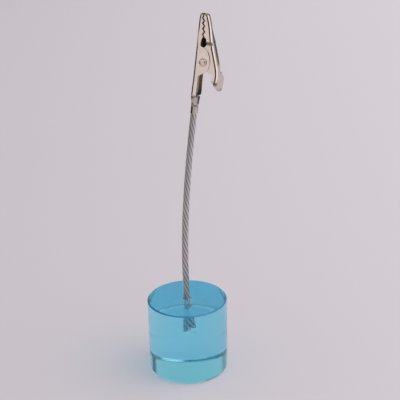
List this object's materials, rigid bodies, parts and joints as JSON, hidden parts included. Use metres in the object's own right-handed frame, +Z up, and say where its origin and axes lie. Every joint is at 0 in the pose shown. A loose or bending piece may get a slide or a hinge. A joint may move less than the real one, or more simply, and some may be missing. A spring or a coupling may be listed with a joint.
{
  "type": "memo holder",
  "caption": "Desk memo holder: clear blue acrylic cylinder base, stiff twisted wire-rope stem and a sprung toothed clip that opens when its thumb lever is pressed.",
  "frame": {"origin": "middle of the base's underside, on the surface it stands on", "axes": "+Z up along the base's axis, +X to the side the stem and clip lean to, -Y towards the viewer"},
  "size_m": [0.03, 0.03, 0.1369],
  "materials": {
    "blue_acrylic": "clear polished, tinted turquoise blue",
    "adhesive": "set clear adhesive, slightly cloudy",
    "rope_steel": "bright drawn wire, twisted",
    "nickel_plate": "nickel plated sheet",
    "rivet_steel": "nickel plated, rolled heads",
    "spring_steel": "spring wire"
  },
  "bodies": {
    "stand": {"acrylic_base": "blue_acrylic", "rope_adhesive": "adhesive", "rope_core": "rope_steel", "rope_strand_1": "rope_steel", "rope_strand_2": "rope_steel", "rope_strand_3": "rope_steel", "rope_strand_4": "rope_steel", "rope_strand_5": "rope_steel", "rope_strand_6": "rope_steel", "fixed_jaw": "nickel_plate", "pivot_rivet": "rivet_steel", "jaw_spring": "spring_steel"},
    "jaw": {"moving_jaw": "nickel_plate"}
  },
  "joints": [
    {"name": "jaw_hinge", "type": "hinge", "parent": "stand", "child": "jaw", "pos_m": [0.00867, -0.00079, 0.1205], "axis": [0.3715, 0.9272, -0.0482], "range_deg": [0, 38], "stiffness_Nm_per_rad": 0.02, "springref_deg": -28.65, "deforming": ["jaw_spring"]}
  ]
}
